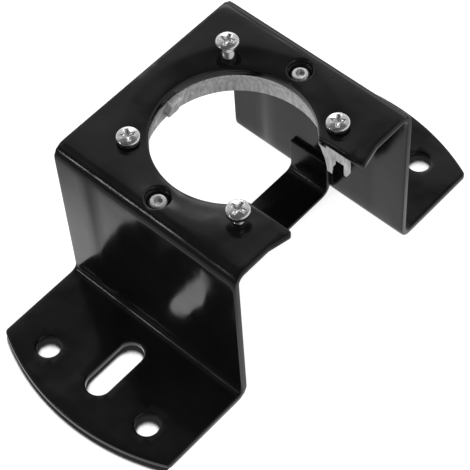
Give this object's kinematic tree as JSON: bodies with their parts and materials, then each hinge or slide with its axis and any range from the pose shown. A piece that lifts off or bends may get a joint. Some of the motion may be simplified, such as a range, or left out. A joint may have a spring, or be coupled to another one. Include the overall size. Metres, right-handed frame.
{
  "type": "ceiling fan mounting bracket",
  "caption": "Folded sheet steel hat bracket with a slotted round opening, a moulded ball seat, a cross strap, canopy screws and slotted feet.",
  "frame": {"origin": "midway between the middles of the two foot slots, in the plane of the feet's undersides", "axes": "+Z from the feet to the plate, +Y from the near foot to the far foot, +X towards the edge where the slot opens"},
  "size_m": [0.0822, 0.177, 0.0791],
  "materials": {
    "black_paint": "gloss black paint on folded steel sheet",
    "strap_paint": "satin black paint on steel strip",
    "grey_moulding": "mottled grey filled plastic",
    "zinc_screw": "bright zinc plate",
    "rivet_metal": "bright, slightly dulled"
  },
  "bodies": {
    "root": {"hanger_bracket": "black_paint", "cross_strap": "strap_paint", "ball_seat": "grey_moulding", "canopy_screw_1": "zinc_screw", "canopy_screw_2": "zinc_screw", "canopy_screw_3": "zinc_screw", "canopy_screw_4": "zinc_screw", "rivet_near": "rivet_metal", "rivet_far": "rivet_metal"}
  },
  "joints": []
}
